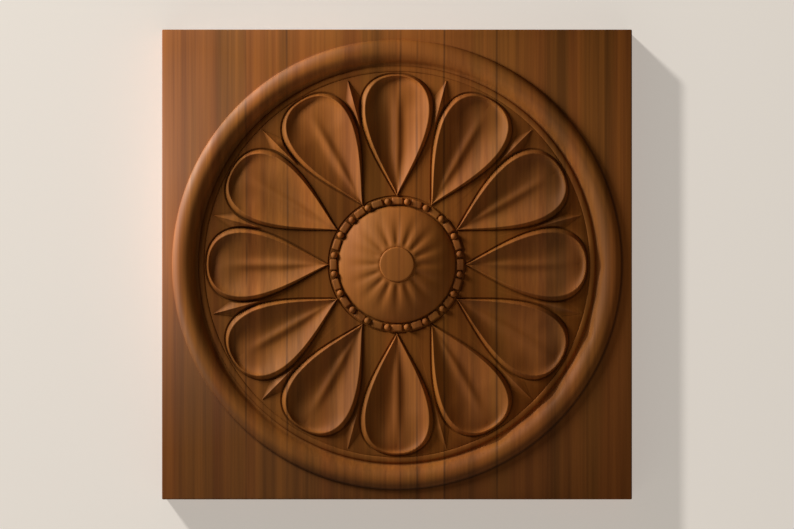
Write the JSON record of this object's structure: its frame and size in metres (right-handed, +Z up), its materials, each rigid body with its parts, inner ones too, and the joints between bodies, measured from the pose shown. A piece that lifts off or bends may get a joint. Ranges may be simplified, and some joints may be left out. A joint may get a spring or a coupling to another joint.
{
  "type": "carved wooden rosette",
  "caption": "Square carved wood panel with a round rosette: scooped petals, sepal tips, a bead-and-reel ring and a fluted boss inside a half-round ring.",
  "frame": {"origin": "centre of the flat back of the panel, where it rests on the wall", "axes": "+Z up the panel along the grain, +Y out of the flat back into the wall, so the carved front faces -Y"},
  "size_m": [0.3, 0.0365, 0.3],
  "materials": {
    "waxed_hardwood": "satin wax over warm orange-brown hardwood, straight vertical grain, dark in the carved recesses"
  },
  "bodies": {
    "root": {"carved_panel": "waxed_hardwood"}
  },
  "joints": []
}
